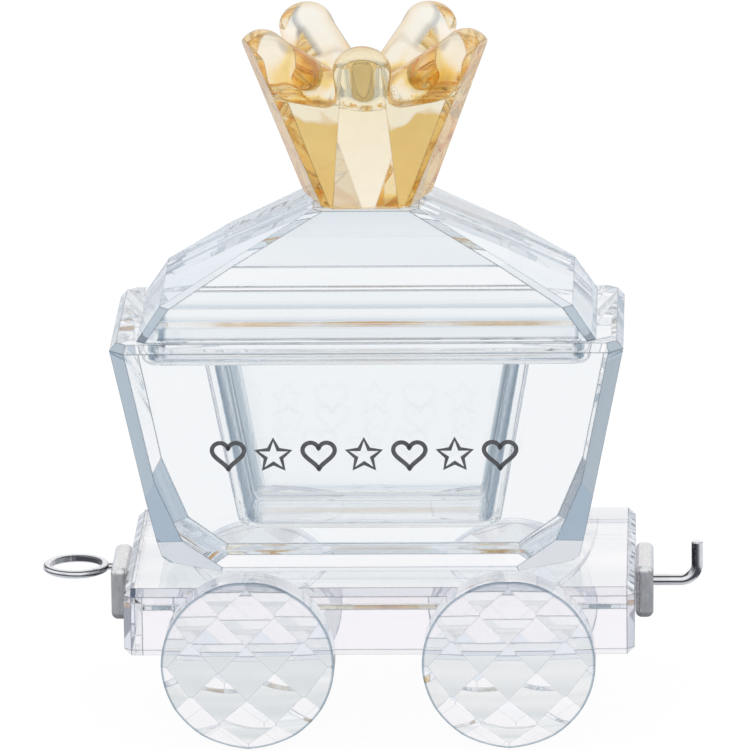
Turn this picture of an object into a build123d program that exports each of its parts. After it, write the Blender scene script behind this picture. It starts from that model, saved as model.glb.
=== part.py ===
# Baby tooth box: a clear crystal railway wagon with a flared tub and a crowned lid.
# Millimetres, +Z up. The origin is on the ground under the middle of the whole length,
# couplings included. +X points to the hook end, and -Y is the front.
import os
from math import cos, radians, sin, sqrt, tan

from build123d import *

# Chassis slab
slab_length = 31.0
slab_depth = 17.9
slab_height = 4.25
slab_bevel = 0.45

# Wheels: flat back, round girdle, low dome cut in squares that stand on their corners
wheel_radius = 5.25
wheel_spacing = 15.8
wheel_overhang = 5.1
wheel_girdle = 2.1
wheel_dome = 1.7
facet_pitch = 2.33
facet_rows = 2
facet_turn = 45

# Tub on the slab
tub_height = 14.8
foot_length = 25.4
foot_depth = 10.8
rim_length = 31.3
rim_depth = 14.4
tub_corner = 0.9
rim_bevel = 0.5
foot_bevel = 0.35

# Facets at the tub's lower corners: how high they start and how far they reach at the foot
long_facet_rise = 5.9
long_facet_front = 2.2
long_facet_end = 1.7
long_facet = (long_facet_rise, long_facet_front, long_facet_end)
low_facet_rise = 2.8
low_facet_front = 4.2
low_facet_end = 2.6
low_facet = (low_facet_rise, low_facet_front, low_facet_end)

# Rebate in the rim for the lid's plug, and the cavity for the tooth under it
pocket_length = 27.2
pocket_depth = 12.4
pocket_drop = 1.4
pocket_round = 1.2
pocket_fillet = 0.6
mouth_length = 19.8
mouth_depth = 10.0
floor_length = 15.9
floor_depth = 8.4
floor_thickness = 2.6
cavity_round = 1.6
cavity_fillet = 0.9

# Step-cut lid
lid_height = 7.55
lid_length = 27.8
lid_depth = 13.0
lid_corner = 0.5
shoulder_height = 2.1
shoulder_length = 25.0
shoulder_depth = 12.7
shoulder_corner = 0.6
brow_height = 4.5
brow_length = 17.3
brow_depth = 11.4
brow_corner = 0.5
table_length = 6.4
table_depth = 7.9
table_corner = 0.6
plug_clearance = 0.4
plug_drop = 1.2
plug_fillet = 0.45

# Crown on the lid: its flat outside leans out, and each prong ends round
prong_count = 5
crown_height = 10.85
crown_radius = 4.0
flare_angle = 22.0
cup_height = 8.2
base_side_angle = 60
cup_side_angle = 22
bowl_depth = 4.0
bowl_wall = 0.8
valley_radius = 2.6
valley_height = 9.9
prong_radius = 1.7
prong_inset = 0.95
prong_root_height = 4.2
prong_root_radius = 1.6
heart_height = 5.9
heart_radius = 1.4

# Couplings: a plate on each end, a wire ring on the left and a bent rod on the right
plate_thickness = 1.1
plate_width = 5.6
plate_height = 3.3
plate_round = 0.4
ring_radius = 1.78
ring_wire = 0.51
ring_land = 0.3
ring_shank = 0.24
ring_rise = 1.0
shank_diameter = 0.46
hook_diameter = 0.7
hook_bend = 1.0
hook_length = 3.04
hook_rise = 2.45
hook_tip_round = 0.08

# Thickness of the clear bond between two joined pieces, and of the air under the loose lid
bond_gap = 0.02
seat_gap = 0.02

# Places that follow from the sizes
ring_reach = bond_gap + plate_thickness + ring_shank + 2 * ring_radius + ring_wire
hook_reach = bond_gap + plate_thickness + hook_length
slab_x = (ring_reach - hook_reach) / 2
slab_bottom = wheel_overhang
slab_top = slab_bottom + slab_height
foot_level = slab_top + bond_gap
rim_level = foot_level + tub_height
cavity_floor = foot_level + floor_thickness
lid_level = rim_level + seat_gap
table_level = lid_level + lid_height
crown_level = table_level + bond_gap
left_plate_x = slab_x - slab_length / 2 - bond_gap - plate_thickness
right_plate_x = slab_x + slab_length / 2 + bond_gap + plate_thickness
plate_level = slab_bottom + slab_height / 2

os.makedirs("parts", exist_ok=True)


# Chassis: a slab with every edge bevelled
with BuildPart() as chassis:
    with Locations((slab_x, 0, plate_level)):
        Box(slab_length, slab_depth, slab_height)
    chamfer(chassis.edges(), length=slab_bevel)
chassis.part.label = "chassis"
export_step(chassis.part, "parts/chassis.step")


# Wheels: every square of the face lies on a plane that touches the dome's sphere
dome_sphere = (wheel_radius**2 + wheel_dome**2) / (2 * wheel_dome)
dome_centre = Vector(0, 0, wheel_girdle + wheel_dome - dome_sphere)


def face_plane(column, row):
    """Plane of one square of the wheel's face."""
    across = Vector(column * facet_pitch, row * facet_pitch).rotate(Axis.Z, facet_turn)
    normal = across + Vector(0, 0, sqrt(dome_sphere**2 - across.length**2))
    return Plane(origin=dome_centre + normal, z_dir=normal)


rows = range(-facet_rows, facet_rows + 1)
with BuildPart() as wheel_blank:
    with BuildSketch():
        Circle(wheel_radius)
    extrude(amount=wheel_girdle + wheel_dome)
    for column in rows:
        for row in rows:
            if 0 < abs(column) + abs(row) < 2 * facet_rows:
                split(bisect_by=face_plane(column, row), keep=Keep.BOTTOM)

for side_name, side in (("front", -1), ("rear", 1)):
    for end_name, end in (("left", -1), ("right", 1)):
        hub = (slab_x + end * wheel_spacing / 2, side * (slab_depth / 2 + bond_gap), wheel_radius)
        back = Plane(origin=hub, x_dir=(1, 0, 0), z_dir=(0, side, 0))
        with BuildPart() as wheel:
            with Locations(back.location):
                add(wheel_blank.part)
        wheel.part.label = f"wheel_{side_name}_{end_name}"
        export_step(wheel.part, f"parts/wheel_{side_name}_{end_name}.step")


# Tub: a flared block with cut corners
def tub_side(height, inset_x=0, inset_y=0):
    """Point of the tub's uncut corner at a height over the foot, moved in along its faces."""
    share = height / tub_height
    half_length = (foot_length + (rim_length - foot_length) * share) / 2
    half_depth = (foot_depth + (rim_depth - foot_depth) * share) / 2
    return Vector(half_length - inset_x, half_depth - inset_y, foot_level + height)


def corner_facet(sizes, x_sign, y_sign):
    """Plane that cuts one lower corner: it leaves the corner's bevel at the rise."""
    rise, front, end = sizes
    points = (tub_side(rise, tub_corner), tub_side(0, front), tub_side(0, 0, end))
    top, near, far = (Vector(p.X * x_sign, p.Y * y_sign, p.Z) for p in points)
    normal = (near - top).cross(far - top)
    if normal.Z > 0:
        normal = -normal
    return Plane(origin=top, z_dir=normal)


with BuildPart() as pocket:
    with BuildSketch(Plane.XY.offset(rim_level)):
        RectangleRounded(pocket_length, pocket_depth, pocket_round)
    extrude(amount=-pocket_drop)
    fillet(pocket.faces().sort_by(Axis.Z)[0].edges(), radius=pocket_fillet)

with BuildPart() as cavity:
    with BuildSketch(Plane.XY.offset(cavity_floor)):
        RectangleRounded(floor_length, floor_depth, cavity_round)
    with BuildSketch(Plane.XY.offset(rim_level - pocket_drop)):
        RectangleRounded(mouth_length, mouth_depth, cavity_round)
    loft(ruled=True)
    fillet(cavity.faces().sort_by(Axis.Z)[0].edges(), radius=cavity_fillet)

tub_ends = ((foot_level, foot_length, foot_depth), (rim_level, rim_length, rim_depth))
with BuildPart() as tub:
    for level, length, depth in tub_ends:
        with BuildSketch(Plane.XY.offset(level)) as outline:
            Rectangle(length, depth)
            chamfer(outline.vertices(), length=tub_corner)
    loft(ruled=True)
    chamfer(tub.faces().sort_by(Axis.Z)[-1].edges(), length=rim_bevel)
    chamfer(tub.faces().sort_by(Axis.Z)[0].edges(), length=foot_bevel)
    for x_sign in (-1, 1):
        for y_sign in (-1, 1):
            for facet in (long_facet, low_facet):
                split(bisect_by=corner_facet(facet, x_sign, y_sign), keep=Keep.BOTTOM)
    add(pocket.part, mode=Mode.SUBTRACT)
    add(cavity.part, mode=Mode.SUBTRACT)
tub.part.label = "tub"
export_step(tub.part, "parts/tub.step")


# Lid: stepped octagons over the rim, and a plug that drops into the rebate with clearance
lid_steps = (
    (0, lid_length, lid_depth, lid_corner),
    (shoulder_height, shoulder_length, shoulder_depth, shoulder_corner),
    (brow_height, brow_length, brow_depth, brow_corner),
    (lid_height, table_length, table_depth, table_corner),
)
with BuildPart() as lid:
    for height, length, depth, corner in lid_steps:
        with BuildSketch(Plane.XY.offset(lid_level + height)) as outline:
            Rectangle(length, depth)
            chamfer(outline.vertices(), length=corner)
    loft(ruled=True)
    with BuildSketch(Plane.XY.offset(lid_level)):
        RectangleRounded(
            pocket_length - 2 * plug_clearance,
            pocket_depth - 2 * plug_clearance,
            pocket_round - plug_clearance,
        )
    extrude(amount=-plug_drop)
    fillet(lid.faces().sort_by(Axis.Z)[0].edges(), radius=plug_fillet)
lid.part.label = "lid"
export_step(lid.part, "parts/lid.step")


# Crown: a flared ten-sided cup with a cone-shaped hollow and a round valley cut in every narrow
# side. A round-headed post rises behind each broad side, which cuts it flat outside, and a ridge
# climbs to its head from the middle.
prong_turn = 360 / prong_count
front_angle = -90
flare = radians(flare_angle)
base_apothem = crown_radius * cos(radians(base_side_angle / 2))


def broad_side(height):
    """Distance from the crown's axis to its broad sides at a height over the lid's table."""
    return base_apothem + height * tan(flare)


def cup_corners(height, side_angle):
    """Corners of the ten-sided outline at a height, two for the broad side under each prong."""
    radius = broad_side(height) / cos(radians(side_angle / 2))
    corners = []
    for prong_index in range(prong_count):
        for side in (-1, 1):
            angle = radians(front_angle + prong_turn * prong_index + side * side_angle / 2)
            corners.append((radius * cos(angle), radius * sin(angle)))
    return corners


def post_point(height):
    """Point on a prong's axis, which runs along its broad side and inside it."""
    return Vector(broad_side(height) - prong_inset / cos(flare), 0, height)


def limb(start, end, start_radius, end_radius):
    """Round tapered bar between two points."""
    line = end - start
    with Locations(Plane(origin=start, z_dir=line).location):
        Cone(start_radius, end_radius, line.length, align=(Align.CENTER, Align.CENTER, Align.MIN))


heart = Vector(0, 0, heart_height)
tip = post_point(crown_height - prong_radius)
with BuildPart() as prong:
    limb(post_point(prong_root_height), tip, prong_root_radius, prong_radius)
    limb(heart, tip, heart_radius, prong_radius)
    with Locations(tip):
        Sphere(prong_radius)
    with Locations(heart):
        Sphere(heart_radius)
    outside = Plane(origin=(base_apothem, 0, 0), z_dir=(cos(flare), 0, -sin(flare)))
    split(bisect_by=outside, keep=Keep.BOTTOM)

with BuildPart() as crown:
    for height, side_angle in ((0, base_side_angle), (cup_height, cup_side_angle)):
        with BuildSketch(Plane.XY.offset(crown_level + height)):
            with BuildLine():
                Polyline(*cup_corners(height, side_angle), close=True)
            make_face()
    loft(ruled=True)
    with Locations((0, 0, crown_level + cup_height)):
        Cone(
            0,
            broad_side(cup_height) - bowl_wall,
            bowl_depth,
            align=(Align.CENTER, Align.CENTER, Align.MAX),
            mode=Mode.SUBTRACT,
        )
    with Locations((0, 0, crown_level)):
        with PolarLocations(0, prong_count, start_angle=front_angle + prong_turn / 2):
            with Locations(Plane((0, 0, valley_height), z_dir=(1, 0, 0)).location):
                Cylinder(
                    valley_radius,
                    crown_height,
                    align=(Align.CENTER, Align.CENTER, Align.MIN),
                    mode=Mode.SUBTRACT,
                )
        with PolarLocations(0, prong_count, start_angle=front_angle):
            add(prong.part)
crown.part.label = "crown"
export_step(crown.part, "parts/crown.step")


# Coupling plates: rounded plates bonded to the slab's ends
def save_plate(name, x):
    """Plate of one end, with its middle at x."""
    with BuildPart() as plate:
        with Locations((x, 0, plate_level)):
            Box(plate_thickness, plate_width, plate_height)
        fillet(plate.edges(), radius=plate_round)
    plate.part.label = name
    export_step(plate.part, f"parts/{name}.step")


save_plate("ring_plate", left_plate_x + plate_thickness / 2)
save_plate("hook_plate", right_plate_x - plate_thickness / 2)


# Coupling ring: round wire with a narrow flat land inside, on a short shank from its plate
ring_level = plate_level + ring_rise
ring_x = left_plate_x - ring_shank - ring_wire / 2 - ring_radius
land_radius = ring_radius - sqrt(ring_wire**2 - ring_land**2) / 2
with BuildPart() as coupling_ring:
    with BuildSketch(Plane((ring_x, 0, ring_level), x_dir=(1, 0, 0), z_dir=(0, -1, 0))):
        with Locations((ring_radius, 0)):
            Circle(ring_wire / 2)
        with Locations((land_radius, 0)):
            Rectangle(ring_wire, ring_wire, align=(Align.MAX, Align.CENTER), mode=Mode.SUBTRACT)
    revolve(axis=Axis((ring_x, 0, ring_level), (0, 0, 1)))
    with BuildSketch(Plane((left_plate_x, 0, ring_level), x_dir=(0, 1, 0), z_dir=(-1, 0, 0))):
        Circle(shank_diameter / 2)
    extrude(amount=ring_shank + ring_wire / 2)
coupling_ring.part.label = "coupling_ring"
export_step(coupling_ring.part, "parts/coupling_ring.step")


# Coupling hook: a bent round rod that leaves its plate level and turns up
hook_tip_x = right_plate_x + hook_length - hook_diameter / 2
with BuildPart() as coupling_hook:
    with BuildLine():
        FilletPolyline(
            (right_plate_x, 0, plate_level),
            (hook_tip_x, 0, plate_level),
            (hook_tip_x, 0, plate_level + hook_rise),
            radius=hook_bend,
        )
    with BuildSketch(Plane((right_plate_x, 0, plate_level), z_dir=(1, 0, 0))):
        Circle(hook_diameter / 2)
    sweep()
    fillet(coupling_hook.faces().sort_by(Axis.Z)[-1].edges(), radius=hook_tip_round)
coupling_hook.part.label = "coupling_hook"
export_step(coupling_hook.part, "parts/coupling_hook.step")
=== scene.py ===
# Baby tooth box: a clear crystal railway wagon whose tub keeps a milk tooth under a crowned lid.
# Sizes are in metres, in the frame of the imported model: +X to the hook end, -Y the front.
import math
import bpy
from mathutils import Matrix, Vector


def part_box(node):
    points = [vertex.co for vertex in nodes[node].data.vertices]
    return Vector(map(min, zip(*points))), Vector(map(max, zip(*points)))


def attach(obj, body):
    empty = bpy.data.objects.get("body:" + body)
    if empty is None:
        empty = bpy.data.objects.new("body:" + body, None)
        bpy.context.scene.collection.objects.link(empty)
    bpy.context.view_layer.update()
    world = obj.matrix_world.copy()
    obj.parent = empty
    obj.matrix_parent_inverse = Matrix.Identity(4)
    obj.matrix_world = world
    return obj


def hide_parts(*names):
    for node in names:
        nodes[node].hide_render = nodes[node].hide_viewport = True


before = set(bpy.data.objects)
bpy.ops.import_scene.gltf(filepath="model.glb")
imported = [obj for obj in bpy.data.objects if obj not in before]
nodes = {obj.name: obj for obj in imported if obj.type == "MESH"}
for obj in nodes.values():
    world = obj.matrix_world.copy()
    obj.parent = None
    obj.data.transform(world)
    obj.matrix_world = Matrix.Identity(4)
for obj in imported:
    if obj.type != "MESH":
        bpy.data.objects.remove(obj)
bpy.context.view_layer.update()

import bmesh
import bpy
import numpy as np
from mathutils import Quaternion, Vector

collection = bpy.context.collection

# The camera: a long lens, 17 degrees over the table and 2 degrees to the hook side.
# The middle of the slab's top lands on one known pixel of the square picture.
slab_low, slab_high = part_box("chassis")
slab_middle = Vector(((slab_low.x + slab_high.x) / 2, 0, slab_high.z))
picture_width = 750
slab_pixel = (382.8, 547.4)
pixels_per_metre = 16268
film_width = 36
camera_distance = 0.590
view_azimuth = math.radians(2.0)
view_elevation = math.radians(16.6)
view_roll = math.radians(0.8)
towards_camera = Vector(
    (
        math.sin(view_azimuth) * math.cos(view_elevation),
        -math.cos(view_azimuth) * math.cos(view_elevation),
        math.sin(view_elevation),
    )
)
camera_data = bpy.data.cameras.new("camera")
camera_data.sensor_width = film_width
camera_data.lens = film_width * pixels_per_metre * camera_distance / picture_width
camera_data.clip_start = 0.01
camera_data.clip_end = 50
camera = bpy.data.objects.new("camera", camera_data)
collection.objects.link(camera)
camera.location = slab_middle + towards_camera * camera_distance
level_turn = (-towards_camera).to_track_quat("-Z", "Y")
picture_across = picture_width / 2 - slab_pixel[0]
picture_up = slab_pixel[1] - picture_width / 2
aim = Vector(
    (
        picture_across * math.cos(view_roll) + picture_up * math.sin(view_roll),
        picture_up * math.cos(view_roll) - picture_across * math.sin(view_roll),
        0,
    )
)
picture_middle = slab_middle + level_turn @ (aim / pixels_per_metre)
camera_turn = (picture_middle - camera.location).to_track_quat("-Z", "Y")
camera.rotation_euler = (camera_turn @ Quaternion((0, 0, 1), -view_roll)).to_euler()
bpy.context.scene.camera = camera


# The slab that carries everything: one block of lead crystal, sawn, bevelled and polished.
# The wheels, the tub and the lid are made of the same clear glass in other tones.
def link(tree, output, socket):
    """Wire an output to an input."""
    tree.links.new(output, socket)


def add_node(tree, kind, **settings):
    """A node of one kind, with its settings."""
    node = tree.nodes.new(kind)
    for key, value in settings.items():
        setattr(node, key, value)
    return node


def new_material(name):
    """A material with its tree and its main shader."""
    material = bpy.data.materials.new(name)
    material.use_nodes = True
    return material, material.node_tree, material.node_tree.nodes["Principled BSDF"]


def place_on(tree):
    """Where a point lies on its piece, which it keeps when the piece moves."""
    return add_node(tree, "ShaderNodeTexCoord").outputs["Object"]


def facing_of(tree):
    """The way each flat facet faces."""
    return add_node(tree, "ShaderNodeNewGeometry").outputs["True Normal"]


def split(tree, vector):
    """The X, Y and Z of a vector."""
    node = add_node(tree, "ShaderNodeSeparateXYZ")
    link(tree, vector, node.inputs["Vector"])
    return node.outputs


def calculate(tree, operation, first, second=0):
    """Arithmetic on two sockets or plain values."""
    node = add_node(tree, "ShaderNodeMath", operation=operation)
    for socket, value in zip(node.inputs, (first, second)):
        if isinstance(value, (int, float)):
            socket.default_value = value
        else:
            link(tree, value, socket)
    return node.outputs[0]


def agreement(tree, first, second):
    """Dot product of a direction with another one or with plain factors."""
    node = add_node(tree, "ShaderNodeVectorMath", operation="DOT_PRODUCT")
    link(tree, first, node.inputs[0])
    if isinstance(second, tuple):
        node.inputs[1].default_value = second
    else:
        link(tree, second, node.inputs[1])
    return node.outputs["Value"]


def ease(tree, value, low, high, low_result, high_result):
    """Values between two limits, turned into values between two results."""
    node = add_node(tree, "ShaderNodeMapRange")
    for name, number in (
        ("From Min", low), ("From Max", high), ("To Min", low_result), ("To Max", high_result)
    ):
        node.inputs[name].default_value = number
    link(tree, value, node.inputs["Value"])
    return node.outputs["Result"]


def clouds(tree, place, scale, detail=2, distortion=0):
    """Cloudy values from 0 to 1, with about so many clouds to the metre."""
    node = add_node(tree, "ShaderNodeTexNoise")
    for name, number in (("Scale", scale), ("Detail", detail), ("Distortion", distortion)):
        node.inputs[name].default_value = number
    link(tree, place, node.inputs["Vector"])
    return node.outputs["Fac"]


def two_tone(tree, value, colours, span=(0.35, 0.65)):
    """Colour ramp between two colours as a value rises over a span."""
    ramp = add_node(tree, "ShaderNodeValToRGB")
    for stop, colour, position in zip(ramp.color_ramp.elements, colours, span):
        stop.color = (*colour, 1)
        stop.position = position
    link(tree, value, ramp.inputs["Fac"])
    return ramp.outputs["Color"]


def tinted(tree, first, second):
    """One colour laid over another."""
    node = add_node(tree, "ShaderNodeVectorMath", operation="MULTIPLY")
    link(tree, first, node.inputs[0])
    link(tree, second, node.inputs[1])
    return node.outputs["Vector"]


untinted = (1, 1, 1)


def toned(tree, colour, value, tone, span=(0, 1)):
    """A colour that takes on a tone as a value rises over a span."""
    return tinted(tree, colour, two_tone(tree, value, (untinted, tone), span))


def facet_tone(tree, swing, start):
    """A value from 0 to 1 that each flat facet gets from the way it faces."""
    turn = calculate(tree, "ADD", agreement(tree, facing_of(tree), swing), start)
    wave = calculate(tree, "ADD", calculate(tree, "SINE", turn), 1)
    return calculate(tree, "MULTIPLY", wave, 0.5)


def bumped(tree, height, strength, depth, normal=None):
    """A surface raised by up to a depth where a value is high."""
    node = add_node(tree, "ShaderNodeBump")
    node.inputs["Strength"].default_value = strength
    node.inputs["Distance"].default_value = depth
    link(tree, height, node.inputs["Height"])
    if normal:
        link(tree, normal, node.inputs["Normal"])
    return node.outputs["Normal"]


streak_scale = 70
streak_twist = 0.6
polish_scale = 420
polish_depth = 0.0001
edge_round_radius = 0.00012
corner_span = (0.10, 0.36)
edge_span = (0.72, 1)


def crystal(name, melt, facets, edge, line, line_span, ripple, swing, start, corner=None):
    """Polished crystal: faint streaks in the melt, painted shade and reflection in a tone on each
    facet and each cut corner by the way it faces, painted shade where the surface turns from view,
    a painted dark line along each rounded edge, and a polish that is not quite flat."""
    material, tree, shader = new_material(name)
    place = place_on(tree)
    streaks = clouds(tree, place, streak_scale, distortion=streak_twist)
    colour = two_tone(tree, streaks, melt)
    # Each facet takes a tone from the way it faces: painted shade and reflection.
    colour = tinted(tree, colour, two_tone(tree, facet_tone(tree, swing, start), facets, (0, 1)))
    # Facets that face across the corners are painted darker: painted shade.
    if corner:
        faces = split(tree, facing_of(tree))
        slant = calculate(tree, "MULTIPLY", faces["X"], faces["Y"])
        colour = toned(tree, colour, calculate(tree, "ABSOLUTE", slant), corner, corner_span)
    # The colour darkens where the surface turns from view: painted shade along the outlines.
    rim = add_node(tree, "ShaderNodeLayerWeight").outputs["Facing"]
    colour = toned(tree, colour, rim, edge, edge_span)
    # The edges are rounded a little, and the dark line along each one is painted shade.
    rounded_edge = add_node(tree, "ShaderNodeBevel", samples=4)
    rounded_edge.inputs["Radius"].default_value = edge_round_radius
    level = agreement(tree, rounded_edge.outputs["Normal"], facing_of(tree))
    colour = toned(tree, colour, calculate(tree, "SUBTRACT", 1, level), line, line_span)
    link(tree, colour, shader.inputs["Base Color"])
    polish = clouds(tree, place, polish_scale, detail=1)
    polish = bumped(tree, polish, ripple, polish_depth, rounded_edge.outputs["Normal"])
    link(tree, polish, shader.inputs["Normal"])
    shader.inputs["Roughness"].default_value = 0
    shader.inputs["IOR"].default_value = 1.54
    shader.inputs["Transmission Weight"].default_value = 1
    return material


neutral_melt = ((0.975, 0.978, 0.98), (0.99, 0.992, 0.993))
# The shades painted on the clear pieces' outlines and along their edges.
clear_edge = (0.55, 0.66, 0.75)
clear_line = (0.03, 0.05, 0.07)
clear_line_span = (0.003, 0.02)
slab_crystal = crystal(
    "slab_crystal",
    melt=neutral_melt,
    facets=((0.84, 0.82, 0.88), untinted),
    edge=clear_edge,
    line=clear_line,
    line_span=clear_line_span,
    ripple=0.02,
    swing=(4.1, 0.9, 2 * math.pi),
    start=1.2,
)
nodes["chassis"].material_slots[0].material = slab_crystal


# The wheels: four round crystal blanks, ground flat behind and cut in squares in front. Each
# is bonded to the side of the slab, and a narrow dark ring of painted shade rims its face.
def straight_distance(tree, first, second):
    """Distance to a point from the distances along two square ways."""
    squares = [calculate(tree, "POWER", way, 2) for way in (first, second)]
    return calculate(tree, "SQRT", calculate(tree, "ADD", *squares))


wheel_crystal = crystal(
    "wheel_crystal",
    melt=neutral_melt,
    facets=((0.78, 0.77, 0.83), untinted),
    edge=clear_edge,
    line=(0.30, 0.36, 0.42),
    line_span=clear_line_span,
    ripple=0.01,
    swing=(17.0, 0.9, 17.0),
    start=2.5,
)
wheel_low, wheel_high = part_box("wheel_front_right")
wheel_radius = (wheel_high.z - wheel_low.z) / 2
wheel_away = (wheel_low.x + wheel_high.x) / 2 - slab_middle.x
# The dark ring round each wheel's face is painted shade, which only the camera sees directly.
painted_rim_shade = (0.22, 0.31, 0.38)
painted_rim_shade_span = (0.966, 0.980)
face_turn = 0.5
tree = wheel_crystal.node_tree
shader = tree.nodes["Principled BSDF"]
spot = split(tree, place_on(tree))
sideways = calculate(tree, "ABSOLUTE", calculate(tree, "SUBTRACT", spot["X"], slab_middle.x))
sideways = calculate(tree, "SUBTRACT", sideways, wheel_away)
upward = calculate(tree, "SUBTRACT", spot["Z"], wheel_radius)
from_axle = calculate(tree, "DIVIDE", straight_distance(tree, sideways, upward), wheel_radius)
on_rim = two_tone(tree, from_axle, ((0, 0, 0), (1, 1, 1)), painted_rim_shade_span)
faces = split(tree, facing_of(tree))
in_front = calculate(tree, "GREATER_THAN", calculate(tree, "ABSOLUTE", faces["Y"]), face_turn)
on_rim = calculate(tree, "MULTIPLY", on_rim, in_front)
seen = add_node(tree, "ShaderNodeLightPath").outputs["Is Camera Ray"]
on_rim = calculate(tree, "MULTIPLY", on_rim, seen)
plain = shader.inputs["Base Color"].links[0].from_socket
link(tree, toned(tree, plain, on_rim, painted_rim_shade), shader.inputs["Base Color"])
for wheel in ("front_left", "front_right", "rear_left", "rear_right"):
    nodes[f"wheel_{wheel}"].material_slots[0].material = wheel_crystal

# The tub: a flared crystal block, hollowed for the tooth and rebated for the lid. Its corners
# are cut off and its edges bevelled, and it is bonded to the slab.
# The painted shade on facets that face across the corners.
clear_corner = (0.27, 0.35, 0.42)
tub_crystal = crystal(
    "tub_crystal",
    melt=((0.975, 0.984, 0.985), (0.99, 0.995, 0.996)),
    facets=((0.74, 0.80, 0.86), untinted),
    edge=(0.84, 0.90, 0.93),
    line=clear_line,
    line_span=clear_line_span,
    ripple=0.02,
    swing=(2 * math.pi, 2 * math.pi, 2 * math.pi),
    start=math.pi / 2,
    corner=clear_corner,
)
nodes["tub"].material_slots[0].material = tub_crystal

# The frieze: seven hearts and stars in outline, in grey enamel, screened on to the tub's front
# face and fired. They stand a few hundredths of a millimetre proud of the glass.
tub_low, tub_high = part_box("tub")
foot_half_depth = 0.0054
rim_half_depth = 0.0072
face_lean = math.atan((rim_half_depth - foot_half_depth) / (tub_high.z - tub_low.z))
frieze_shift = -0.0002
frieze_height = 0.0077
frieze_middle = Vector(
    (
        frieze_shift,
        -foot_half_depth - frieze_height * math.tan(face_lean),
        tub_low.z + frieze_height,
    )
)
face_up = Vector((0, -math.sin(face_lean), math.cos(face_lean)))
face_out = Vector((0, -math.cos(face_lean), -math.sin(face_lean)))
sign_count = 7
sign_pitch = 0.00275
sign_size = 0.00098
stroke = 0.00027
enamel_low = 0.00001
enamel_high = 0.00004
stroke_corners = (
    (stroke / 2, enamel_low),
    (stroke / 2, enamel_high),
    (-stroke / 2, enamel_high),
    (-stroke / 2, enamel_low),
)


def heart_line(count=48):
    """Points round a heart, about one unit from its middle."""
    line = []
    for t in (2 * math.pi * n / count for n in range(count)):
        high = 13 * math.cos(t) - 5 * math.cos(2 * t) - 2 * math.cos(3 * t) - math.cos(4 * t)
        line.append(Vector((16 * math.sin(t) ** 3, high + 2)) / 16)
    return line


def star_line(points=5, inner=0.46, reach=1.1):
    """Corners of a star, with the inner ones at a share of its reach."""
    line = []
    for n in range(2 * points):
        turn = math.pi * n / points
        line.append(Vector((math.sin(turn), math.cos(turn))) * (1, inner)[n % 2] * reach)
    return line


frieze_shape = bmesh.new()
for number in range(sign_count):
    line = (heart_line, star_line)[number % 2]()
    middle = frieze_middle + Vector(((number - (sign_count - 1) / 2) * sign_pitch, 0, 0))
    rings = []
    for grow, lift in stroke_corners:
        ring = []
        for n, point in enumerate(line):
            chord = line[(n + 1) % len(line)] - line[n - 1]
            outward = Vector((-chord.y, chord.x)).normalized() if chord.length else Vector((0, 1))
            flat = point * sign_size + outward * grow
            corner = middle + Vector((flat.x, 0, 0)) + face_up * flat.y + face_out * lift
            ring.append(frieze_shape.verts.new(corner))
        rings.append(ring)
    for n in range(len(line)):
        for near, far in zip(rings, rings[1:] + rings[:1]):
            frieze_shape.faces.new((near[n - 1], near[n], far[n], far[n - 1]))
bmesh.ops.recalc_face_normals(frieze_shape, faces=frieze_shape.faces)
frieze_mesh = bpy.data.meshes.new("frieze")
frieze_shape.to_mesh(frieze_mesh)
frieze_shape.free()
frieze = bpy.data.objects.new("frieze", frieze_mesh)
collection.objects.link(frieze)


def shared_colour(tree, share, first, second):
    """Two colours, plain or from sockets, shared by a value from 0 to 1."""
    node = add_node(tree, "ShaderNodeMix", data_type="RGBA")
    link(tree, share, node.inputs[0])
    for socket, colour in zip(node.inputs[6:8], (first, second)):
        if isinstance(colour, tuple):
            socket.default_value = (*colour, 1)
        else:
            link(tree, colour, socket)
    return node.outputs[2]


# Mirrored by the tub's inner walls, the signs are as pale as the glass round them.
enamel_greys = ((0.085, 0.087, 0.092), (0.12, 0.12, 0.125))
enamel_mirrored = (0.92, 0.95, 0.97)
enamel_grain = 2500
enamel, tree, shader = new_material("grey_enamel")
grey = two_tone(tree, clouds(tree, place_on(tree), enamel_grain), enamel_greys)
mirrors = add_node(tree, "ShaderNodeLightPath").outputs["Glossy Depth"]
mirrored = calculate(tree, "MINIMUM", mirrors, 1)
grey = shared_colour(tree, mirrored, grey, enamel_mirrored)
link(tree, grey, shader.inputs["Base Color"])
shader.inputs["Roughness"].default_value = 0.55
frieze_mesh.materials.append(enamel)
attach(frieze, "wagon")

# The lid: a step-cut crystal block with a plug under it. It lies loose in the tub's rebate,
# and its flat table carries the crown.
lid_crystal = crystal(
    "lid_crystal",
    melt=((0.965, 0.978, 0.98), (0.985, 0.992, 0.993)),
    facets=((0.68, 0.75, 0.82), untinted),
    edge=clear_edge,
    line=clear_line,
    line_span=clear_line_span,
    ripple=0.02,
    swing=(5.2, 1.2, 3.4),
    start=2.6,
    corner=clear_corner,
)
nodes["lid"].material_slots[0].material = lid_crystal


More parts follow.
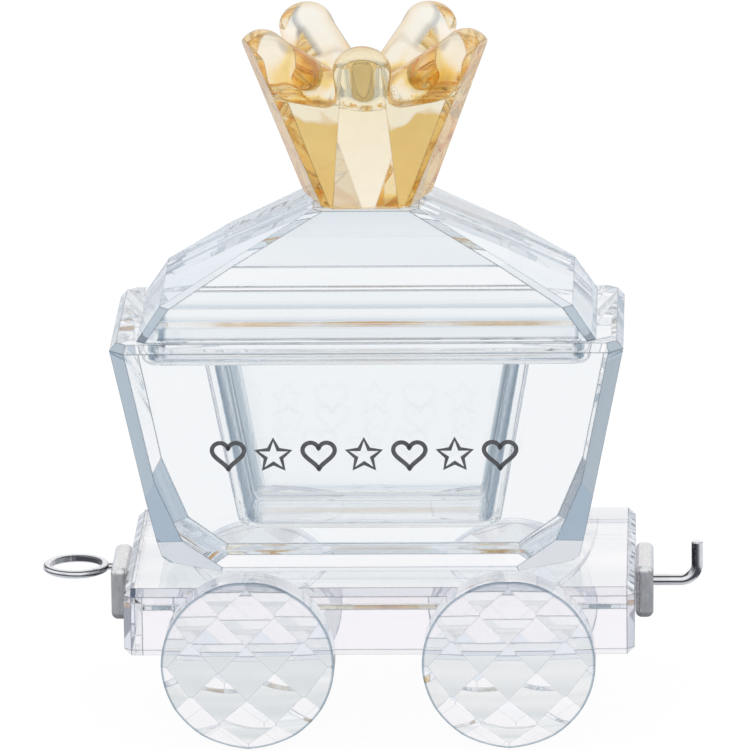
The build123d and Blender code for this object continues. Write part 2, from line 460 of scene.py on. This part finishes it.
# The crown: pressed golden crystal, five round fingers that grow out of a flared cup. It is
# ground flat outside on ten sides and bonded to the lid's table; the flats under the valleys are
# painted a deeper gold, a painted reflection of light inside it. Its sizes are in mm over its
# foot.
mm = 0.001
crown_low, crown_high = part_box("crown")
crown_foot = Vector((0, 0, crown_low.z))
crown_tall = (crown_high.z - crown_low.z) / mm
finger_count = 5
finger_step = 2 * math.pi / finger_count
first_finger = -math.pi / 2
cup_width = 4.0
cup_foot = cup_width * math.cos(math.radians(30))
cup_flare = math.radians(22)
valley_foot = 3.978
valley_flare = math.radians(15.5)
finger_inset = 0.72
finger_thick = 1.4
finger_wide = 1.66
finger_clear = 0.12
finger_root = 0.5
finger_top = crown_tall - finger_thick - finger_clear
finger_fillet = 0.8
ridge_root = 5.0
ridge_thick = 1.3
ridge_fillet = 0.3
core_foot = 3.95
core_spread = 0.42
core_top = 6.0
core_rise = 0.14
core_fillet = 0.7
below_foot = 0.6
grid_step = 0.17
grid_low = -1.0
grid_over = 0.6
grid_margin = 1.6
sharp_turn = math.radians(24)


def finger_axis(height):
    """Distance of a finger's axis from the crown's at a height over the foot."""
    return cup_foot + height * math.tan(cup_flare) - finger_inset / math.cos(cup_flare)


def soft_least(first, second, blend):
    """The smaller of two distances, with a round fillet where they meet."""
    share = np.clip(0.5 + 0.5 * (second - first) / blend, 0, 1)
    return second * (1 - share) + first * share - blend * share * (1 - share)


def bar_distance(points, angle, start, end, start_thick):
    """Distance from points to an oval bar that stands in the upright plane at an angle."""
    x, y, z = points.T
    out = x * math.cos(angle) + y * math.sin(angle)
    side = (y * math.cos(angle) - x * math.sin(angle)) * finger_thick / finger_wide
    run, rise = end[0] - start[0], end[1] - start[1]
    share = ((out - start[0]) * run + (z - start[1]) * rise) / (run**2 + rise**2)
    share = np.clip(share, 0, 1)
    far = np.sqrt(
        (out - start[0] - share * run) ** 2 + side**2 + (z - start[1] - share * rise) ** 2
    )
    return far - start_thick - (finger_thick - start_thick) * share


def crown_distance(points):
    """Signed distance, about, from points to the crown before it is ground flat."""
    x, y, z = points.T
    out = np.hypot(x, y)
    solid = (out - core_foot - core_spread * z) * math.cos(math.atan(core_spread))
    solid = -soft_least(-solid, core_top + core_rise * out - z, core_fillet)
    root = (finger_axis(finger_root), finger_root)
    tip = (finger_axis(finger_top), finger_top)
    for finger in range(finger_count):
        angle = first_finger + finger_step * finger
        post = bar_distance(points, angle, root, tip, finger_thick)
        ridge = bar_distance(points, angle, (0, ridge_root), tip, ridge_thick)
        solid = soft_least(solid, soft_least(post, ridge, ridge_fillet), finger_fillet)
    return np.maximum(solid, -below_foot - z)


def skin(distance, low, high, step, rounds=10):
    """Quads over the zero surface of a distance, one corner in each grid cell that it crosses,
    drawn on to the surface in a few rounds."""
    counts = [int((h - l) / step) + 2 for l, h in zip(low, high)]
    axes = [l + step * np.arange(n) for l, n in zip(low, counts)]
    grid = np.stack(np.meshgrid(*axes, indexing="ij"), -1)
    inside = (distance(grid.reshape(-1, 3)) < 0).reshape(counts)
    filled = np.zeros([n - 1 for n in counts], int)
    for corner in np.ndindex(2, 2, 2):
        window = tuple(slice(c, n - 1 + c) for c, n in zip(corner, counts))
        filled += inside[window]
    crossed = (filled > 0) & (filled < 8)
    number = np.full(crossed.shape, -1)
    number[crossed] = np.arange(crossed.sum())
    corners = np.array(low) + (np.argwhere(crossed) + 0.5) * step
    nudge = step * 0.01
    least_slope = 0.01
    for _ in range(rounds):
        slope = [distance(corners + n) - distance(corners - n) for n in np.eye(3) * nudge]
        slope = np.stack(slope, -1) / (2 * nudge)
        pull = distance(corners) / np.maximum((slope**2).sum(-1), least_slope)
        corners -= np.clip(pull, -step, step)[:, None] * slope
    faces = []
    for axis in range(3):
        before = np.moveaxis(inside, axis, 0)[:-1]
        after = np.moveaxis(inside, axis, 0)[1:]
        cells = np.moveaxis(number, axis, 0)
        for i, j, k in np.argwhere(before != after):
            faces.append(
                [cells[i, j - 1, k - 1], cells[i, j, k - 1], cells[i, j, k], cells[i, j - 1, k]]
            )
    return corners, faces


def grind_flat(shape, point, normal):
    """Grind a closed shape flat on one plane."""
    everything = shape.verts[:] + shape.edges[:] + shape.faces[:]
    cut = bmesh.ops.bisect_plane(
        shape, geom=everything, dist=1e-8, plane_co=point, plane_no=normal, clear_outer=True
    )
    rims = [e for e in cut["geom_cut"] if isinstance(e, bmesh.types.BMEdge) and e.is_boundary]
    bmesh.ops.edgenet_fill(shape, edges=rims)


grid_reach = max(crown_high.x, -crown_low.y) / mm + grid_margin
corners, faces = skin(
    crown_distance,
    (-grid_reach, -grid_reach, grid_low),
    (grid_reach, grid_reach, crown_tall + grid_over),
    grid_step,
)
crown_mesh = bpy.data.meshes.new("golden_crown")
crown_mesh.from_pydata([Vector(corner) * mm + crown_foot for corner in corners], [], faces)
crown_shape = bmesh.new()
crown_shape.from_mesh(crown_mesh)
bmesh.ops.recalc_face_normals(crown_shape, faces=crown_shape.faces)
grind_flat(crown_shape, crown_foot, Vector((0, 0, -1)))
for side in range(2 * finger_count):
    angle = first_finger + finger_step * side / 2
    near, lean = ((cup_foot, cup_flare), (valley_foot, valley_flare))[side % 2]
    out = Vector((math.cos(angle), math.sin(angle), 0))
    normal = out * math.cos(lean) - Vector((0, 0, math.sin(lean)))
    grind_flat(crown_shape, crown_foot + out * near * mm, normal)
bmesh.ops.recalc_face_normals(crown_shape, faces=crown_shape.faces)
crown_shape.to_mesh(crown_mesh)
crown_shape.free()

# The fingers' side flanks near their roots are marked for painted shade. The flats that are
# painted a deeper gold have one mark and the foot another.
flank_shade_height = 7.0
flank_shade_reach = 2.25
flank_shade_fade = 1.5
flank_turn = 0.60
flank_fade = 0.3
painted_gold_mark = 1.0
foot_mark = 2.0
valley_match = 0.999
lean_match = 0.004
foot_match = 0.99


def held(value):
    """A value kept between 0 and 1."""
    return min(max(value, 0), 1)


shaded_flanks = crown_mesh.attributes.new("shaded_flanks", "FLOAT", "POINT")
for corner in crown_mesh.vertices:
    way = math.atan2(corner.co.y, corner.co.x)
    faces_out = corner.normal.x * math.cos(way) + corner.normal.y * math.sin(way)
    height = (corner.co.z - crown_low.z) / mm
    at_root = held((flank_shade_reach - abs(height - flank_shade_height)) / flank_shade_fade)
    shaded_flanks.data[corner.index].value = at_root * held((flank_turn - abs(faces_out)) / flank_fade)
marks = crown_mesh.attributes.new("gold_and_foot_marks", "FLOAT", "FACE")
for face in crown_mesh.polygons:
    face.use_smooth = True
    way = math.atan2(face.normal.y, face.normal.x) - first_finger
    in_valley = math.cos(finger_count * way) < -valley_match
    leans = abs(face.normal.z + math.sin(valley_flare)) < lean_match
    on_foot = face.normal.z < -foot_match
    marks.data[face.index].value = foot_mark if on_foot else painted_gold_mark * (in_valley and leans)
crown_mesh.set_sharp_from_angle(angle=sharp_turn)
golden_crown = bpy.data.objects.new("golden_crown", crown_mesh)
collection.objects.link(golden_crown)
# The brown edge and line tones are painted shade along the crown's outlines and edges.
crown_crystal = crystal(
    "crown_crystal",
    melt=((1.0, 0.97, 0.91), (1.0, 0.985, 0.95)),
    facets=(untinted, untinted),
    edge=(0.42, 0.20, 0.04),
    line=(0.30, 0.13, 0.02),
    line_span=(0.01, 0.07),
    ripple=0.02,
    swing=(4.1, 0.9, 2.3),
    start=2.7,
)
painted_gold_tones = ((0.66, 0.36, 0.055), (0.74, 0.45, 0.085))
painted_gold_cloud_scale = 260
painted_gold_run_scale = 520
painted_gold_run_length = 0.0030
painted_gold_height = 0.0072
painted_gold_top = crown_low.z + painted_gold_height
painted_gold_fade = 0.0004
foot_tone = (0.97, 0.58, 0.15)
flank_shade_clouds = (0.40, 0.60)
faintest_flank_shade = 0.25
flank_amber_shade = (0.95, 0.62, 0.15)
deep_flank_shade = (0.55, 0.40, 0.30)
turned_tone = (0.88, 0.56, 0.16)
turned_span = (0.28, 0.85)
tree = crown_crystal.node_tree
shader = tree.nodes["Principled BSDF"]
place = place_on(tree)
mark = add_node(tree, "ShaderNodeAttribute", attribute_name="gold_and_foot_marks").outputs["Fac"]
backs = add_node(tree, "ShaderNodeNewGeometry").outputs["Backfacing"]
# The valley flats are painted a deeper gold with a ragged top: painted reflection of light inside
# the crystal.
painted_gold = calculate(tree, "MULTIPLY", mark, calculate(tree, "SUBTRACT", 1, backs))
runs = clouds(tree, place, painted_gold_run_scale, detail=1)
ragged = calculate(tree, "MULTIPLY", runs, painted_gold_run_length)
ragged = calculate(tree, "ADD", split(tree, place)["Z"], ragged)
painted_gold = calculate(tree, "MULTIPLY", painted_gold, ease(tree, ragged, painted_gold_top, painted_gold_top + painted_gold_fade, 1, 0))
painted_gold_colour = two_tone(tree, clouds(tree, place, painted_gold_cloud_scale), painted_gold_tones)
painted_gold_colour = shared_colour(tree, painted_gold, untinted, painted_gold_colour)
colour = tinted(tree, shader.inputs["Base Color"].links[0].from_socket, painted_gold_colour)
at_foot = calculate(tree, "GREATER_THAN", mark, (painted_gold_mark + foot_mark) / 2)
colour = toned(tree, colour, at_foot, foot_tone)
# Patches of amber and darker brown painted on the marked flanks: painted shade on the fingers'
# sides.
flank_shading = add_node(tree, "ShaderNodeAttribute", attribute_name="shaded_flanks").outputs["Fac"]
patches = ease(tree, runs, *flank_shade_clouds, faintest_flank_shade, 1)
flank_shading = calculate(tree, "MULTIPLY", patches, flank_shading)
colour = toned(tree, colour, flank_shading, flank_amber_shade, (0, 0.5))
colour = toned(tree, colour, flank_shading, deep_flank_shade, (0.5, 1))
# Deeper amber where the surface turns from view: painted shade along the outlines.
turned = add_node(tree, "ShaderNodeLayerWeight").outputs["Facing"]
colour = toned(tree, colour, turned, turned_tone, turned_span)
link(tree, colour, shader.inputs["Base Color"])
gold_in_melt = add_node(tree, "ShaderNodeVolumeAbsorption")
gold_in_melt.inputs["Color"].default_value = (0.883, 0.685, 0.10, 1)
gold_in_melt.inputs["Density"].default_value = 38
link(tree, gold_in_melt.outputs["Volume"], tree.nodes["Material Output"].inputs["Volume"])
crown_mesh.materials.append(crown_crystal)
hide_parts("crown")
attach(golden_crown, "lid")


# The couplings: cast plates on the slab's ends, a wire ring soldered to one and a bent rod to
# the other, all plated and brushed to a satin shine.
def stretched(tree, place, scales):
    """Places drawn out or pressed together along each axis."""
    node = add_node(tree, "ShaderNodeMapping")
    node.inputs["Scale"].default_value = scales
    link(tree, place, node.inputs["Vector"])
    return node.outputs["Vector"]


brush_scale = 900
brush_depth = 0.00003
brush_strength = 0.12
brush_smoother = 0.05
brush_rougher = 0.07


def coupling_metal(name, greys, shaded, brush, rough, swing, start, span):
    """Plated metal: brush marks one way, and a painted reflection, darker where it faces a dark
    room.
    """
    material, tree, shader = new_material(name)
    marks = clouds(tree, stretched(tree, place_on(tree), brush), brush_scale, detail=4)
    bands = two_tone(tree, facet_tone(tree, swing, start), (shaded, untinted), span)
    colour = tinted(tree, two_tone(tree, marks, greys), bands)
    link(tree, colour, shader.inputs["Base Color"])
    roughness = ease(tree, marks, 0, 1, rough - brush_smoother, rough + brush_rougher)
    link(tree, roughness, shader.inputs["Roughness"])
    brushed = bumped(tree, marks, brush_strength, brush_depth)
    link(tree, brushed, shader.inputs["Normal"])
    shader.inputs["Metallic"].default_value = 1
    return material


plate_metal = coupling_metal(
    "plate_metal",
    greys=((0.66, 0.66, 0.66), (0.82, 0.82, 0.81)),
    shaded=(0.42, 0.42, 0.43),
    brush=(4, 4, 1.5),
    rough=0.22,
    swing=(0, 0, 1.6),
    start=0.2,
    span=(0.52, 0.85),
)
wire_metal = coupling_metal(
    "wire_metal",
    greys=((0.76, 0.76, 0.77), (0.90, 0.90, 0.90)),
    shaded=(0.10, 0.10, 0.11),
    brush=(1, 1, 1),
    rough=0.12,
    swing=(1.4, 2.2, 7.0),
    start=1.2,
    span=(0.10, 0.55),
)
for plate in ("ring_plate", "hook_plate"):
    nodes[plate].material_slots[0].material = plate_metal
for coupling in ("coupling_ring", "coupling_hook"):
    nodes[coupling].material_slots[0].material = wire_metal


# The table: a pale card that shows white and keeps a soft shadow under the wheels. Through the
# crystal it shows painted streaks of light and shade close by, and painted dark shade of the
# cards farther out in its four corners.
table_half = 3
table_corners = ((-1, -1), (1, -1), (1, 1), (-1, 1))
card_edges = (-0.2, -0.95)
faintest_card = 0.4
cards_from = 0.03
cards_full = 0.06
cards_strength = 0.7
card_tone = (0.04, 0.07, 0.13)
painted_streak_shade = (0.80, 0.84, 0.86)
streak_stretch = (20, 160, 1)
streak_clouds = (0.60, 0.38)
white_light = 1.03
white_share = 0.92
through_light = 1.0
through_share = 0.80


def corner_cards(tree, x, y):
    """How dark the cards in the four corners are in one direction from the middle."""
    around = calculate(tree, "ARCTAN2", y, x)
    corners_wave = calculate(
        tree, "COSINE", calculate(tree, "MULTIPLY", around, len(table_corners))
    )
    in_corner = ease(tree, corners_wave, *card_edges, 0, 1)
    side_wave = calculate(tree, "COSINE", calculate(tree, "SUBTRACT", around, math.pi / 4))
    return calculate(tree, "MULTIPLY", in_corner, ease(tree, side_wave, -1, 1, faintest_card, 1))


def glow(tree, strength):
    """A light of one strength."""
    node = add_node(tree, "ShaderNodeEmission")
    node.inputs["Strength"].default_value = strength
    return node


def mixed(tree, share, first, second):
    """Two shaders, shared by a socket or a plain value."""
    node = add_node(tree, "ShaderNodeMixShader")
    for socket, value in zip(node.inputs, (share, first, second)):
        if isinstance(value, (int, float)):
            socket.default_value = value
        else:
            link(tree, value, socket)
    return node.outputs["Shader"]


floor_mesh = bpy.data.meshes.new("floor")
floor_mesh.from_pydata(
    [(table_half * x, table_half * y, 0) for x, y in table_corners], [], [(0, 1, 2, 3)]
)
floor = bpy.data.objects.new("floor", floor_mesh)
collection.objects.link(floor)
floor_material, tree, shader = new_material("pale_table")
shader.inputs["Base Color"].default_value = (0.82, 0.84, 0.87, 1)
shader.inputs["Roughness"].default_value = 0.9
place = place_on(tree)
spot = split(tree, place)
far = straight_distance(tree, spot["X"], spot["Y"])
# Streaks of light and shade painted on the table, seen only through the crystal.
streaks = clouds(tree, stretched(tree, place, streak_stretch), 1, detail=1)
streaks = ease(tree, streaks, *streak_clouds, 0, 1)
streaks = calculate(tree, "MULTIPLY", streaks, ease(tree, far, cards_from, cards_full, 1, 0))
table_tone = two_tone(tree, streaks, (untinted, painted_streak_shade), (0, 1))
# The cards' painted shade on the table, farther out in its four corners.
card = corner_cards(tree, spot["X"], spot["Y"])
card_share = ease(tree, far, cards_from, cards_full, 0, cards_strength)
card = calculate(tree, "MULTIPLY", card, card_share)
table_tone = toned(tree, table_tone, card, card_tone)
through_glow = glow(tree, through_light)
link(tree, table_tone, through_glow.inputs["Color"])
matt = shader.outputs["BSDF"]
rays = add_node(tree, "ShaderNodeLightPath")
seen = mixed(tree, white_share, matt, glow(tree, white_light).outputs["Emission"])
through = mixed(tree, through_share, matt, through_glow.outputs["Emission"])
surface = mixed(tree, rays.outputs["Is Transmission Ray"], matt, through)
surface = mixed(tree, rays.outputs["Is Camera Ray"], surface, seen)
link(tree, surface, tree.nodes["Material Output"].inputs["Surface"])
floor_mesh.materials.append(floor_material)

# The studio: white walls with a dim line at the table's edge, and dark cards that stand in the
# four corners, the darkest behind on the hook side. They draw the grey-blue of the cut edges.
wall_stops = (
    (0.0, (0.90, 0.92, 0.95)),
    (0.50, (0.80, 0.85, 0.92)),
    (0.55, (0.90, 0.93, 0.97)),
    (0.587, (1.0, 0.985, 1.0)),
    (0.69, (1.0, 0.98, 1.0)),
    (0.80, (0.96, 0.98, 1.0)),
    (1.0, (0.96, 0.98, 1.0)),
)
card_full_height = 0.20
card_top_height = 0.50
world = bpy.data.worlds.new("studio")
bpy.context.scene.world = world
world.use_nodes = True
tree = world.node_tree
parts = split(tree, add_node(tree, "ShaderNodeTexCoord").outputs["Generated"])
wall = add_node(tree, "ShaderNodeValToRGB")
link(tree, ease(tree, parts["Z"], -1, 1, 0, 1), wall.inputs["Fac"])
elements = wall.color_ramp.elements
for stop, (position, colour) in zip(elements, (wall_stops[0], wall_stops[-1])):
    stop.position, stop.color = position, (*colour, 1)
for position, colour in wall_stops[1:-1]:
    elements.new(position).color = (*colour, 1)
low_down = ease(tree, parts["Z"], card_full_height, card_top_height, 1, 0)
card = calculate(tree, "MULTIPLY", corner_cards(tree, parts["X"], parts["Y"]), low_down)
room = tree.nodes["Background"]
link(tree, toned(tree, wall.outputs["Color"], card, card_tone), room.inputs["Color"])
backdrop = add_node(tree, "ShaderNodeBackground")
backdrop.inputs["Color"].default_value = (1, 1, 1, 1)
seen = add_node(tree, "ShaderNodeLightPath").outputs["Is Camera Ray"]
studio = mixed(tree, seen, room.outputs["Background"], backdrop.outputs["Background"])
link(tree, studio, tree.nodes["World Output"].inputs["Surface"])

scene = bpy.context.scene
scene.view_settings.view_transform = "Standard"
scene.cycles.max_bounces = 32
scene.cycles.transmission_bounces = 32
scene.cycles.glossy_bounces = 24
